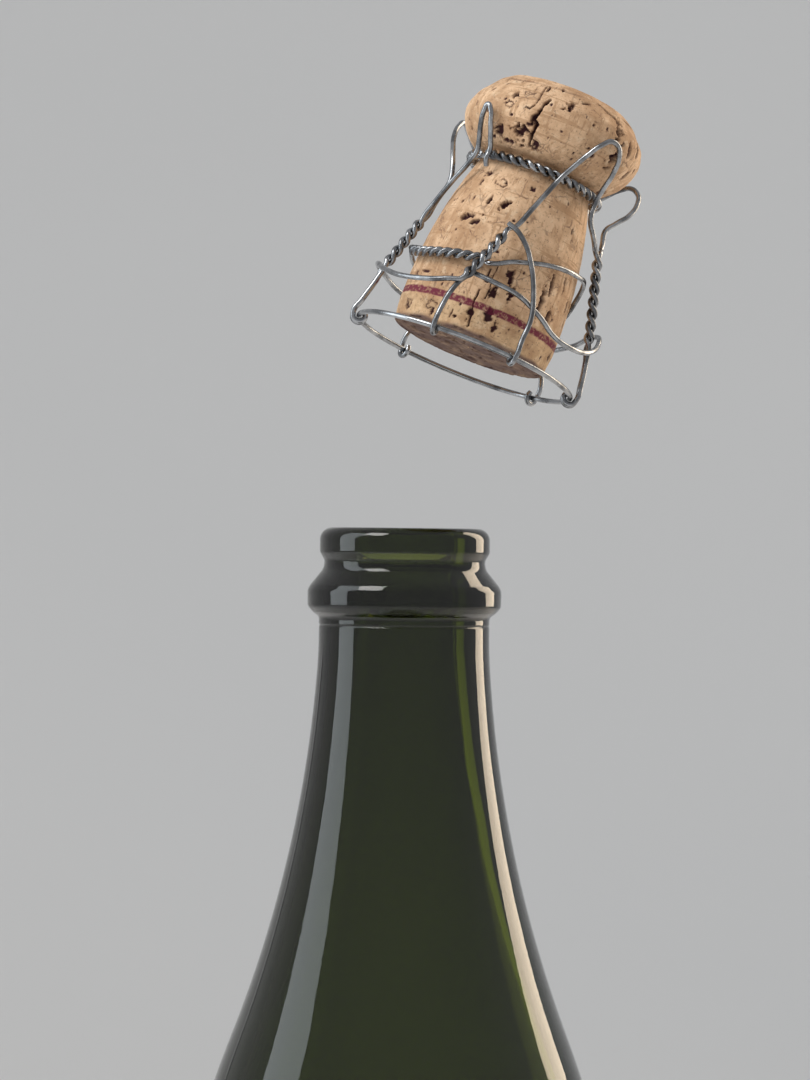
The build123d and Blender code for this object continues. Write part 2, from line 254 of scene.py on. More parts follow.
@dataclass
class TurnedShape:
    """A closed surface turned round the Z axis, kept as rings of points."""

    outline: Profile
    angles: Array

    def rings(self) -> tuple[Array, Array, Array]:
        """Gives radius, angle and height of every point but the two poles.

        Returns:
            Three flat arrays of one value for each point.
        """
        inner = np.array(self.outline[1:-1])
        radius = np.repeat(inner[:, 0], len(self.angles))
        height = np.repeat(inner[:, 1], len(self.angles))
        return radius, np.tile(self.angles, len(inner)), height

    def poles(self) -> list[Vector]:
        """Gives the outline's first and last point, both on the axis."""
        return [Vector((0.0, 0.0, self.outline[end][1])) for end in (0, -1)]

    def mesh(self, name: str, points: Array, poles: list[Vector]) -> bpy.types.Mesh:
        """Joins the points of the rings into one closed mesh.

        Args:
            name: name of the mesh.
            points: the rings' points, as rings() orders them.
            poles: the first and the last point of the outline.

        Returns:
            The new mesh, smooth shaded.
        """
        around = len(self.angles)
        first, last = len(points), len(points) + 1
        top = first - around
        faces = []
        for low in range(0, top, around):
            high = low + around
            for k in range(around):
                onward = (k + 1) % around
                faces.append((low + k, low + onward, high + onward, high + k))
        for k in range(around):
            onward = (k + 1) % around
            faces.append((first, onward, k))
            faces.append((last, top + k, top + onward))
        mesh = bpy.data.meshes.new(name)
        mesh.from_pydata([tuple(p) for p in (*points, *poles)], [], faces)
        mesh.validate()
        mesh.polygons.foreach_set("use_smooth", [True] * len(mesh.polygons))
        return mesh


def add_mask(mesh: bpy.types.Mesh, name: str, values: Array) -> None:
    """Stores one number for each point of a mesh, for its material to read.

    Args:
        mesh: the mesh.
        name: name of the stored values.
        values: the numbers, those of the poles left out.
    """
    attribute = mesh.attributes.new(name, "FLOAT", "POINT")
    every = np.zeros(len(mesh.vertices), np.float32)
    every[: len(values)] = values
    attribute.data.foreach_set("value", every)


def new_piece(name: str, mesh: bpy.types.Mesh, body: str, node: str) -> bpy.types.Object:
    """Links a mesh as a piece that stands for a CAD node.

    Args:
        name: the piece's name.
        mesh: its mesh, in the row frame.
        body: the CAD body that it rides on.
        node: the CAD node that it stands for.

    Returns:
        The new object.
    """
    piece = bpy.data.objects.new(name, mesh)
    bpy.context.scene.collection.objects.link(piece)
    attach(piece, body)
    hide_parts(node)
    LOG.info("%s: %d points, %d faces", name, len(mesh.vertices), len(mesh.polygons))
    return piece


# Node helpers


class Nodes:
    """A node tree with short ways to add and join its nodes."""

    def __init__(self, tree: bpy.types.NodeTree) -> None:
        """Keeps the tree."""
        self.tree = tree

    def add(self, kind: str, inputs: dict[int | str, object], **settings: object) -> bpy.types.Node:
        """Adds a node.

        Args:
            kind: the node's type name, without its ShaderNode start.
            inputs: a socket, number or colour for each input, by the input's name or number.
            settings: the node's properties by name.

        Returns:
            The new node.
        """
        node = self.tree.nodes.new("ShaderNode" + kind)
        for name, value in settings.items():
            setattr(node, name, value)
        for key, value in inputs.items():
            self.feed(node.inputs[key], value)
        return node

    def feed(self, target: Socket, value: object) -> None:
        """Links a socket to an input, or sets a value there.

        Args:
            target: the input.
            value: a socket, a number, a place or a colour.
        """
        if isinstance(value, Socket):
            self.tree.links.new(value, target)
        elif isinstance(value, tuple):
            target.default_value = (*value, 1.0)[: len(target.default_value)]
        else:
            target.default_value = value

    def maths(self, operation: str, one: object, two: object, clamp: bool = False) -> Socket:
        """Adds a math node for two sockets or numbers."""
        return self.add("Math", {0: one, 1: two}, operation=operation, use_clamp=clamp).outputs[0]

    def times(self, one: object, two: object) -> Socket:
        """Multiplies two values."""
        return self.maths("MULTIPLY", one, two)

    def weighted(self, first: Socket, *others: tuple[Socket, float]) -> Socket:
        """Adds values to a first one, each times its weight.

        Args:
            first: the value that counts whole.
            others: each further value and its weight.

        Returns:
            The sum's socket.
        """
        total = first
        for value, weight in others:
            total = self.maths("ADD", total, self.times(value, weight))
        return total

    def noise(self, place: Socket, scale: float, detail: float = 3.0, rough: float = 0.5) -> Socket:
        """Adds a noise texture of so many patches to the metre, with finer layers."""
        return self.add("TexNoise", {"Vector": place, "Scale": scale, "Detail": detail, "Roughness": rough}).outputs[0]

    def band(self, value: Socket, low: float, high: float, start: float = 0.0, end: float = 1.0) -> Socket:
        """Eases a value from start, up to low, to end, from high on."""
        inputs = dict(enumerate((value, low, high, start, end)))
        return self.add("MapRange", inputs, interpolation_type="SMOOTHSTEP").outputs["Result"]

    def mix(self, share: object, one: object, two: object) -> Socket:
        """Mixes two colours, from all of one at a share of 0 to all of two at 1."""
        return self.add("Mix", {0: share, 6: one, 7: two}, data_type="RGBA").outputs[2]

    def vector(self, operation: str, *values: object) -> Socket:
        """Adds a vector math node for sockets or places."""
        node = self.add("VectorMath", dict(enumerate(values)), operation=operation)
        return node.outputs["Value" if operation == "DOT_PRODUCT" else "Vector"]

    def place(self) -> Socket:
        """Gives the place on the piece, in metres."""
        return self.add("TexCoord", {}).outputs["Object"]

    def stored(self, name: str) -> Socket:
        """Reads a number that the mesh keeps for each point."""
        return self.add("Attribute", {}, attribute_name=name).outputs["Fac"]

    def group(self, name: str, inputs: dict[str, object]) -> bpy.types.bpy_prop_collection:
        """Places a shared node group and gives its outputs."""
        return self.add("Group", inputs, node_tree=bpy.data.node_groups[name]).outputs


class Surface:
    """A new material with its nodes and its one surface shader."""

    def __init__(self, name: str) -> None:
        """Makes the material and finds its nodes.

        Args:
            name: the material's name.
        """
        self.material = bpy.data.materials.new(name)
        self.material.use_nodes = True
        self.nodes = Nodes(self.material.node_tree)
        self.shader = self.material.node_tree.nodes["Principled BSDF"]

    def set(self, name: str, value: object) -> None:
        """Sets or links one input of the shader."""
        self.nodes.feed(self.shader.inputs[name], value)

    def emboss(self, height: Socket, strength: float, distance: float) -> None:
        """Lets a height that changes over the surface bend its light."""
        bump = self.nodes.add("Bump", {"Height": height, "Strength": strength, "Distance": distance})
        self.set("Normal", bump.outputs[0])


class SharedGroup(Nodes):
    """A shared node group with named inputs and outputs."""

    def __init__(self, name: str, inputs: dict[str, str], outputs: dict[str, str]) -> None:
        """Starts the group.

        Args:
            name: the group's name.
            inputs: socket type of each input.
            outputs: socket type of each output.
        """
        super().__init__(bpy.data.node_groups.new(name, "ShaderNodeTree"))
        for way, sockets in (("INPUT", inputs), ("OUTPUT", outputs)):
            for key, kind in sockets.items():
                self.tree.interface.new_socket(name=key, in_out=way, socket_type=kind)
        self.given = self.tree.nodes.new("NodeGroupInput").outputs
        self.result = self.tree.nodes.new("NodeGroupOutput").inputs


@dataclass(frozen=True)
class CorkCells:
    """The shared group for cork's mottled colour and fine relief; scales are patches to the metre."""

    clouds: float = 150.0
    mottles: float = 620.0
    grains: float = 2300.0
    long_streaks: float = 1150.0
    cross_streaks: float = 950.0
    crackles: float = 430.0
    crackle_patches: float = 330.0
    crackle_bends: float = 420.0
    bend_reach: float = 0.0016
    light: Triple = (0.87, 0.68, 0.47)

    def build(self) -> None:
        """Builds the group once, for the cork's two pieces."""
        nodes = SharedGroup(
            "cork_cells",
            {"Place": VECTOR, "Pale": COLOUR, "Deep": COLOUR, "Pit": COLOUR, "Mask": FLOAT, "Line strength": FLOAT},
            {"Colour": COLOUR, "Height": FLOAT, "Roughness": FLOAT},
        )
        given, result = nodes.given, nodes.result
        place, pale, deep, pit = (given[name] for name in ("Place", "Pale", "Deep", "Pit"))
        cloud = nodes.noise(place, self.clouds, 5.0, 0.65)
        mottle = nodes.noise(place, self.mottles, 4.0, 0.65)
        grain = nodes.noise(place, self.grains, 3.0, 0.7)
        streaks = nodes.times(self.streaks(nodes, place), given["Line strength"])
        hairs = nodes.times(self.hairs(nodes, place), given["Line strength"])
        flecks = nodes.band(grain, 0.595, 0.66)
        colour = nodes.mix(nodes.band(cloud, 0.38, 0.66, 0.0, 0.8), pale, deep)
        colour = nodes.mix(nodes.band(mottle, 0.52, 0.66, 0.0, 0.45), colour, deep)
        colour = nodes.mix(nodes.band(mottle, 0.34, 0.46, 0.35, 0.0), colour, self.light)
        colour = nodes.mix(streaks, colour, deep)
        colour = nodes.mix(hairs, colour, pit)
        colour = nodes.mix(nodes.times(flecks, 0.5), colour, pit)
        colour = nodes.mix(given["Mask"], colour, pit)
        relief = nodes.times(grain, 0.5)
        relief = nodes.weighted(relief, (streaks, -0.5), (flecks, -0.6), (hairs, -0.9), (mottle, 0.9))
        nodes.feed(result["Colour"], colour)
        nodes.feed(result["Height"], relief)
        nodes.feed(result["Roughness"], nodes.band(cloud, 0.2, 0.8, 0.94, 0.8))

    def streaks(self, nodes: Nodes, place: Socket) -> Socket:
        """Adds the growth lines, some along the cork and some across.

        Args:
            nodes: the group's nodes.
            place: where on the cork.

        Returns:
            The lines' mask.
        """
        along = nodes.noise(nodes.vector("MULTIPLY", place, (1.0, 1.0, 0.07)), self.long_streaks, 3.0, 0.6)
        across = nodes.noise(nodes.vector("MULTIPLY", place, (0.09, 0.09, 1.0)), self.cross_streaks, 3.0, 0.6)
        return nodes.maths("MAXIMUM", nodes.band(along, 0.57, 0.63), nodes.band(across, 0.585, 0.635))

    def hairs(self, nodes: Nodes, place: Socket) -> Socket:
        """Adds the crackled hair lines, here and there.

        Args:
            nodes: the group's nodes.
            place: where on the cork.

        Returns:
            The lines' mask.
        """
        bend = nodes.add("TexNoise", {"Vector": place, "Scale": self.crackle_bends, "Detail": 2.0})
        bent = nodes.vector("MULTIPLY_ADD", bend.outputs["Color"], (self.bend_reach,) * 3, place)
        bent = nodes.vector("MULTIPLY", bent, (1.0, 1.0, 0.72))
        crackle = nodes.add("TexVoronoi", {"Vector": bent, "Scale": self.crackles}, feature="DISTANCE_TO_EDGE")
        patches = nodes.band(nodes.noise(place, self.crackle_patches, 2.0), 0.49, 0.66)
        return nodes.times(nodes.band(crackle.outputs["Distance"], 0.012, 0.05, 0.7, 0.0), patches)


@dataclass(frozen=True)
class MetalWear:
    """The shared group for drawn wire's dull patches, bright rubs and dark specks; scales to the metre."""

    patches: float = 260.0
    grains: float = 5200.0
    soil: Triple = (0.08, 0.075, 0.07)

    def build(self) -> None:
        """Builds the group once, for all the wires."""
        nodes = SharedGroup(
            "metal_wear",
            {"Place": VECTOR, "Bright": COLOUR, "Dull": COLOUR, "Dullness": FLOAT},
            {"Colour": COLOUR, "Roughness": FLOAT, "Height": FLOAT},
        )
        given, result = nodes.given, nodes.result
        patches = nodes.noise(given["Place"], self.patches, 3.0, 0.6)
        grain = nodes.noise(given["Place"], self.grains, 2.0, 0.6)
        edge = nodes.maths("SUBTRACT", patches, nodes.times(given["Dullness"], 0.25))
        colour = nodes.mix(nodes.band(edge, 0.2, 0.55), given["Dull"], given["Bright"])
        colour = nodes.mix(nodes.times(nodes.band(grain, 0.6, 0.68), 0.4), colour, self.soil)
        rough = nodes.band(edge, 0.2, 0.55, 0.31, 0.13)
        nodes.feed(result["Colour"], colour)
        nodes.feed(result["Roughness"], nodes.weighted(rough, (grain, 0.06)))
        nodes.feed(result["Height"], nodes.weighted(grain, (patches, 0.6)))


# Finishes


@dataclass(frozen=True)
class GlassFinish:
    """Deep green bottle glass with a slightly uneven, fire-polished face."""

    tint: Triple = (0.90, 0.95, 0.80)
    second_tint: Triple = (0.86, 0.93, 0.76)
    absorbed: tuple[float, float, float, float] = (0.525, 0.565, 0.02, 1.0)
    density: float = 760.0
    refraction: float = 1.52

    def make(self) -> bpy.types.Material:
        """Builds the material.

        Returns:
            The material.
        """
        surface = Surface("bottle_green_glass")
        nodes = surface.nodes
        place = nodes.place()
        smear = nodes.noise(place, 38.0, 4.0, 0.6)
        dust = nodes.noise(place, 1400.0, 2.0, 0.6)
        haze = nodes.band(smear, 0.5, 0.75, 0.0, 0.035)
        ripple = nodes.weighted(nodes.noise(place, 160.0, 2.0, 0.5), (nodes.noise(place, 950.0), 0.16))
        surface.set("Transmission Weight", 1.0)
        surface.set("IOR", self.refraction)
        surface.set("Roughness", nodes.maths("ADD", haze, nodes.band(dust, 0.72, 0.8, 0.0, 0.12)))
        surface.set("Base Color", nodes.mix(nodes.band(smear, 0.35, 0.7), self.tint, self.second_tint))
        surface.emboss(ripple, 0.1, 0.0002)
        volume = nodes.add("VolumeAbsorption", {"Density": self.density, "Color": self.absorbed})
        nodes.feed(nodes.tree.nodes["Material Output"].inputs["Volume"], volume.outputs[0])
        return surface.material


@dataclass(frozen=True)
class CorkFinish:
    """Natural cork with pores, growth lines and, on its end disc, a band and a wine stain, which is darkened further as
    painted shade of the downturned foot.
    """

    name: str
    pale: Triple = (0.76, 0.51, 0.32)
    deep: Triple = (0.43, 0.25, 0.135)
    pit: Triple = (0.055, 0.018, 0.022)
    lines: float = 0.65
    band: Triple = (0.16, 0.018, 0.045)
    # the foot's colour: a wine stain, made darker still as painted shade of the foot face, which looks down
    stain: Triple = (0.125, 0.075, 0.068)

    def make(self, place_node: Callable[[Nodes], Socket]) -> bpy.types.Material:
        """Builds the material.

        Args:
            place_node: adds the nodes that turn a place in the row frame into one along the cork.

        Returns:
            The material.
        """
        surface = Surface(self.name)
        nodes = surface.nodes
        place = place_node(nodes)
        tones = {"Pale": self.pale, "Deep": self.deep, "Pit": self.pit}
        rest = {"Place": place, "Mask": nodes.stored("pit"), "Line strength": self.lines}
        cells = nodes.group("cork_cells", tones | rest)
        worn = nodes.band(nodes.noise(place, 1600.0, 3.0, 0.7), 0.34, 0.52, 0.45, 0.96)
        colour = nodes.mix(nodes.times(nodes.stored("band"), worn), cells["Colour"], self.band)
        patchy = nodes.band(nodes.noise(place, 260.0, 4.0, 0.6), 0.25, 0.6, 0.6, 0.95)
        # the foot and its lowest edge get the wine stain together with painted shade of the downturned face
        surface.set("Base Color", nodes.mix(nodes.times(nodes.stored("stain"), patchy), colour, self.stain))
        surface.set("Roughness", cells["Roughness"])
        surface.set("Specular IOR Level", 0.25)
        surface.emboss(cells["Height"], 0.55, 0.00012)
        return surface.material


@dataclass(frozen=True)
class WireFinish:
    """Drawn steel wire with a dull zinc coat, rubbed bright where it was handled."""

    name: str
    dullness: float
    bright: Triple = (0.40, 0.41, 0.43)
    dull: Triple = (0.12, 0.125, 0.135)

    def make(self) -> bpy.types.Material:
        """Builds the material.

        Returns:
            The material.
        """
        surface = Surface(self.name)
        nodes = surface.nodes
        tones = {"Bright": self.bright, "Dull": self.dull, "Dullness": self.dullness}
        wear = nodes.group("metal_wear", {"Place": nodes.place()} | tones)
        surface.set("Base Color", wear["Colour"])
        surface.set("Roughness", wear["Roughness"])
        surface.set("Metallic", 1.0)
        surface.emboss(wear["Height"], 0.25, 0.00004)
        return surface.material


@dataclass(frozen=True)
class StudioFinish:
    """Matt pale paper for the floor and the sweep behind."""

    shade: Triple = (0.78, 0.785, 0.79)
    second_shade: Triple = (0.76, 0.765, 0.77)

    def make(self) -> bpy.types.Material:
        """Builds the material.

        Returns:
            The material.
        """
        surface = Surface("studio_paper")
        nodes = surface.nodes
        surface.set("Base Color", nodes.mix(nodes.noise(nodes.place(), 3.0), self.shade, self.second_shade))
        surface.set("Roughness", 0.9)
        return surface.material


# The bottle


@dataclass
class GlassBottle:
    """The moulded bottle, outside and inside, with its seams and bearing ring."""

    height: float = 0.288
    body_radius: float = 0.043
    neck_radius: float = 0.0146
    bore_radius: float = 0.00875
    bore_depth: float = 0.020
    wall: float = 0.0042
    neck_lean: float = radians(4)
    shoulder_lean: float = radians(21)
    finish_depth: float = 0.018
    bend_depth: float = 0.0243
    turn_depth: float = 0.086
    inner_turn_radius: float = 0.0234
    punt_lean: float = radians(60)
    punt_height: float = 0.034
    punt_round: float = 0.013
    inner_punt_round: float = 0.019
    foot_radius: float = 0.034
    heel_height: float = 0.009
    inner_heel_height: float = 0.014
    inner_heel_round: float = 0.006
    around: int = 216
    seam_angles: Point = (0.35, 0.35 + pi)
    seam_rise: float = 0.00007
    ring_mark_depth: float = 0.0166
    ring_mark_cut: float = 0.00014
    inset: float = 0.00002
    mark_chord: float = 0.0001
    finish_chord: float = 0.001
    body_chord: float = 0.0042
    ridges: int = 48
    ridge_rise: float = 0.00016

    def outside(self) -> Profile:
        """Gives the outline from the middle of the punt out, up and over the lip.

        Returns:
            Radius and height of each point.
        """
        lean, top = self.punt_lean, self.height
        edge_height = self.punt_height - self.punt_round * (1 - cos(lean))
        edge = (self.punt_round * sin(lean), edge_height)
        foot = edge[0] + (edge_height - 0.002) / tan(lean)
        punt = arc_chain((0.0, self.punt_height), (edge, (1, 0), 10))
        base = [(*edge, 0), (foot, 0.002, 0.003), (0.0285, 0.0, 0.0025), (self.foot_radius, 0.0, 0)]
        bend, turn = self.turns()
        side = arc_chain(
            (self.foot_radius, 0.0),
            ((self.body_radius, self.heel_height), (1, 0), 14),
            ((self.body_radius, top - self.shoulder_depth(self.body_radius, turn)), None, 1),
            ((turn, top - self.turn_depth), (0, 1), 40),
            ((bend, top - self.bend_depth), (-sin(self.shoulder_lean), cos(self.shoulder_lean)), 40),
            ((self.neck_radius, top - self.finish_depth), (-sin(self.neck_lean), cos(self.neck_lean)), 6),
        )
        return punt + eased_corners(base)[1:] + side[1:] + self.finish()[1:]

    def turns(self) -> Point:
        """Gives the outside's radius at the neck's bend and at the shoulder's turn.

        Returns:
            The two radii.
        """
        start, end = self.neck_lean, self.shoulder_lean
        drop = self.bend_depth - self.finish_depth
        bend = self.neck_radius + drop / sin(start) * (1 - cos(start))
        sweep = (self.turn_depth - self.bend_depth) / (sin(end) - sin(start))
        return bend, bend + sweep * (cos(start) - cos(end))

    def shoulder_depth(self, widest: float, turn: float) -> float:
        """Gives how far below the top the shoulder's arc reaches its widest radius from that of the turn."""
        return self.turn_depth + (widest - turn) / (1 - cos(self.shoulder_lean)) * sin(self.shoulder_lean)

    def finish(self) -> Profile:
        """Gives the outline of the locking ring, the groove, the lip and the bore's mouth.

        Returns:
            Radius and height of each point, from the neck up and into the bore.
        """
        corners = [
            (self.neck_radius, self.finish_depth, 0),
            (self.neck_radius, 0.0152, 0.0009),
            (0.01570, 0.0144, 0.0004),
            (0.01655, 0.0134, 0.0011),
            (0.01660, 0.0107, 0.0014),
            (0.01615, 0.0098, 0.0010),
            (0.01390, 0.0070, 0.0022),
            (0.01372, 0.0056, 0.0012),
            (0.01455, 0.0042, 0.0012),
            (0.01455, 0, 0.0021),
            (self.bore_radius, 0, 0.0009),
            (self.bore_radius, self.bore_depth, 0),
        ]
        return eased_corners([(radius, self.height - depth, ease) for radius, depth, ease in corners], 8)

    def inside(self) -> Profile:
        """Gives the hollow's outline from under the bore down to the middle of the base.

        Returns:
            Radius and height of each point.
        """
        start, end, lean = self.neck_lean, self.shoulder_lean, self.punt_lean
        inner, heel, ease = self.body_radius - self.wall, self.inner_heel_height, self.inner_heel_round
        shoulder = self.height - self.shoulder_depth(inner, self.inner_turn_radius)
        foot = (inner - ease - ease * sin(lean), heel - ease * cos(lean))
        edge = self.inner_punt_round * sin(lean)
        drop = foot[1] + (foot[0] - edge) * tan(lean)
        top = drop + self.inner_punt_round * (1 - cos(lean))
        chain = arc_chain(
            (self.bore_radius, self.height - self.bore_depth),
            ((self.inner_turn_radius, self.height - self.turn_depth), (sin(start), -cos(start)), 30),
            ((inner, shoulder), (sin(end), -cos(end)), 30),
            ((inner, heel), None, 1),
            (foot, (0, -1), 10),
            ((edge, drop), None, 1),
            ((0.0, top), (-cos(lean), sin(lean)), 10),
        )
        return chain[1:]

    def spacing(self, point: Point) -> float:
        """Gives the longest chord allowed near a point: short at the finish and its mark, long down the body.

        Args:
            point: radius and height.

        Returns:
            The chord in metres.
        """
        near_mark = abs(point[1] - (self.height - self.ring_mark_depth)) < 0.0008
        if near_mark and point[0] > self.bore_radius + self.inset:
            return self.mark_chord
        return self.finish_chord if point[1] > self.height - 0.03 else self.body_chord

    def relief(self, radius: Array, angle: Array, height: Array, outer: Array) -> Array:
        """Gives how far each point leaves the plain turned shape.

        Args:
            radius: radius of each point.
            angle: angle of each point.
            height: height of each point.
            outer: 1 for a point of the outside, 0 for one of the hollow.

        Returns:
            Change of radius for each point, never outward of the widest outline.
        """
        wave = layered_noise(in_space(radius, angle, height * 0.6), 0.018, 11, 3)
        change = np.where(outer > 0, (wave - 1) * 0.00003 - self.inset, wave * 0.00013)
        below_ring = ramp(height, self.height - 0.020, self.height - 0.024)
        above_heel = ramp(height, 0.006, 0.016)
        for seam in self.seam_angles:
            away = np.abs(turn_from(angle, seam)) * radius
            change += outer * below_ring * above_heel * self.seam_rise * (1 - ramp(away, 0.0, 0.00045))
        mark = 1 - ramp(np.abs(height - (self.height - self.ring_mark_depth)), 0.00003, 0.00024)
        change -= outer * (radius > 0.0138) * self.ring_mark_cut * mark
        return change * ramp(radius, 0.0, 0.012)

    def build(self) -> bpy.types.Object:
        """Builds the bottle as one closed mesh of outside and hollow.

        Returns:
            The piece.
        """
        outside = evenly(self.outside(), self.spacing)
        outline = outside + evenly([outside[-1], *self.inside()], self.spacing)[1:]
        even = np.linspace(0, 2 * pi, self.around, endpoint=False)
        extra = [seam + step / 100 for seam in self.seam_angles for step in range(-3, 4)]
        angles = np.unique(np.round(np.concatenate([even, extra]), 5))
        shape = TurnedShape(outline, angles)
        radius, angle, height = shape.rings()
        ring = np.repeat(np.arange(len(outline) - 2), len(angles))
        outer = (ring < len(outside) - 1).astype(float)
        radius = radius + self.relief(radius, angle, height, outer)
        bearing = outer * ramp(radius, 0.0287, 0.0295) * (1 - ramp(radius, 0.0335, 0.0345)) * (height < 0.0008)
        height = height + bearing * self.ridge_rise * (0.5 - 0.5 * np.cos(angle * self.ridges))
        mesh = shape.mesh("bottle_glass_shell", in_space(radius, angle, height), shape.poles())
        piece = new_piece("bottle_shell", mesh, "bottle", "bottle_glass")
        mesh.materials.append(GlassFinish().make())
        return piece


# The cork


@dataclass(frozen=True)
class Flight:
    """The cork's own frame: its foot centre and its three directions."""

    foot: Vector
    right: Vector
    back: Vector
    up: Vector

    @classmethod
    def from_joint(cls, name: str) -> "Flight":
        """Reads the frame from a joint round the cork's axis.

        Args:
            name: the joint's name.

        Returns:
            The frame.
        """
        joint = next(j for j in frame["joints"] if j["name"] == name)
        up = Vector(joint["axis"]).normalized()
        right = Vector((0, 1, 0)).cross(up).normalized()
        return cls(Vector(joint["pos_m"]), right, up.cross(right), up)

    def matrix(self) -> Matrix:
        """Gives the matrix from the cork's frame to the row frame."""
        rotation = Matrix((self.right, self.back, self.up)).transposed().to_4x4()
        return Matrix.Translation(self.foot) @ rotation

    def place(self, nodes: Nodes) -> Socket:
        """Adds the nodes that turn an object place into one in the cork's frame.

        Args:
            nodes: the material's nodes.

        Returns:
            The place's socket.
        """
        shifted = nodes.vector("SUBTRACT", nodes.place(), self.foot)
        along = [nodes.vector("DOT_PRODUCT", shifted, way) for way in (self.right, self.back, self.up)]
        return nodes.add("CombineXYZ", dict(enumerate(along))).outputs[0]


@dataclass(frozen=True)
class Pore:
    """A pit in the cork, in degrees round the axis and millimetres."""

    azimuth: float
    height: float
    width: float
    length: float
    depth: float
    slant: float = 0.0
    ragged: float = 0.5
    outlined: bool = False


@dataclass(frozen=True)
class Crack:
    """A split in the cork along a line of places, in degrees round the axis and millimetres."""

    places: tuple[Point, ...]
    width: float
    depth: float


# Front pores: azimuth, height, width, length, depth, slant, raggedness and whether only outlined
FRONT_PORES = [Pore(*row) for row in (
    (-56, 41.9, 0.55, 0.35, 0.5, 40), (-64.5, 38.9, 0.3, 0.7, 0.35, 10), (-33.9, 41.5, 0.5, 0.9, 0.7, -8),
    (-24.5, 42.4, 1, 0.45, 0.3, 0, 0.6, True), (-34.7, 39.4, 0.95, 0.75, 0.35, 30, 0.6, True),
    (-21, 39.3, 0.6, 0.35, 0.3, 10, 0.6, True), (3.8, 42.4, 0.7, 1.3, 0.9, -35, 0.9),
    (-38.8, 35.2, 0.9, 0.95, 0.7, 0, 0.9), (-23, 35.4, 1.45, 1.35, 1, -20, 1),
    (-74, 35.6, 0.55, 1, 0.35, 20, 0.6, True), (-47, 33.9, 0.9, 0.3, 0.35, 0, 0.9), (-14.8, 44.3, 0.25, 0.7, 0.6),
    (-4.5, 45, 0.25, 0.6, 0.6), (14.5, 44.2, 0.9, 0.25, 0.5, 20), (42.7, 42, 0.7, 2, 1, 0, 0.9),
    (46, 38.2, 0.9, 2.4, 1.1, -5, 0.9), (56, 40.6, 0.5, 1.6, 0.7, 10), (70, 37, 0.6, 1.4, 0.7, -10),
    (-42, 28.1, 0.9, 0.45, 0.5, 0, 0.9), (-26.1, 26.9, 1.25, 0.8, 0.4, 10, 0.6, True),
    (-27.7, 23.4, 0.35, 0.85, 0.6, -10, 0.7), (-14.2, 23.1, 0.6, 1.15, 0.9, -35, 0.8),
    (-50, 20, 1, 0.5, 0.7, 25, 0.9), (-38.5, 19.5, 1.9, 0.55, 0.8, 18, 1), (-30, 18.8, 1, 0.4, 0.6, 18, 0.9),
    (-52.2, 22, 0.45, 0.4, 0.5), (-6, 14.9, 0.5, 0.3, 0.4), (2, 27.5, 0.5, 0.3, 0.35, 0, 0.9),
    (-63, 1.9, 0.7, 0.8, 0.5, 0, 0.9), (-38, 2.7, 1.7, 0.75, 0.35, 12, 0.6, True),
    (-35.5, 1.9, 0.3, 0.6, 0.35, 0, 0.8), (-16.5, 2, 0.5, 0.35, 0.4, 0, 0.9), (-8, 3.4, 0.7, 1.2, 0.8, 0, 1),
    (-4.7, 10.3, 0.6, 1.1, 0.7, 0, 1), (2.5, 8.3, 0.7, 0.9, 0.7, 0, 1), (9, 11.8, 0.7, 1.5, 0.8, 0, 1),
    (15, 9, 0.6, 1.2, 0.7, 0, 1), (50, 23.9, 0.35, 0.5, 0.5), (-62, 2.2, 1.1, 1, 0.3, 0, 0.7, True),
    (-30.5, 37.6, 0.35, 0.3, 0.3), (-17, 36.9, 0.5, 0.35, 0.4, 0, 1), (-27.5, 33.7, 1.3, 0.4, 0.4, 0, 1),
    (-9, 34.6, 0.9, 0.7, 0.5, 20, 1), (-45, 26, 0.25, 0.7, 0.35, 0, 0.8), (-3, 21, 0.3, 0.3, 0.3, 0, 0.8),
    (-54, 8.3, 0.9, 0.3, 0.35, 0, 1), (-66, 8, 0.35, 0.5, 0.35, 0, 1), (5, 4.2, 0.8, 1, 0.6, 0, 1),
    (12, 2.6, 0.6, 0.7, 0.5, 0, 1), (22, 41, 0.5, 0.8, 0.5, -30, 1), (30, 36, 0.6, 0.5, 0.4, 0, 1),
    (38.4, 10.5, 0.6, 2.2, 1, 0, 0.8), (43, 13.2, 0.4, 2, 0.8, 4, 0.7), (36.5, 6.9, 0.4, 1.2, 0.7, 0, 0.8),
    (50, 8.6, 0.5, 1.8, 0.8, 0, 0.8), (57, 14.5, 0.35, 1.4, 0.6, 5, 0.8),
)]
# Front cracks: azimuth and height of each place, then width and depth
FRONT_CRACKS = [Crack(*row) for row in (
    (((-17.5, 44.6), (-17.3, 43.2), (-16.4, 41.6), (-17.4, 40.2), (-19.6, 39.5), (-22, 39.6)), 0.24, 0.7),
    (((-9.8, 42.2), (-12, 40.6), (-12.8, 39.2), (-14.9, 37.8), (-11.4, 37.3), (-12.9, 35.2), (-13.5, 33.9)), 0.6, 1.5),
    (((-12.9, 39), (-15.8, 38.2), (-15, 37)), 0.45, 1),
    (((-56, 45), (-53.6, 44)), 0.18, 0.5),
    (((-40, 45.6), (-38.5, 44.3)), 0.15, 0.4),
    (((24, 45.3), (30, 44.7), (39, 44.3), (47, 43.6)), 0.3, 0.8),
    (((-7.4, 7.6), (-7.9, 5.4), (-6.2, 3.2), (-5.6, 1.2)), 0.35, 0.8),
    (((-1.2, 12.4), (-2, 10.4), (-0.8, 8.4), (-1.6, 6.6)), 0.22, 0.6),
    (((-20, 3), (-20.4, 1.6)), 0.16, 0.4),
)]


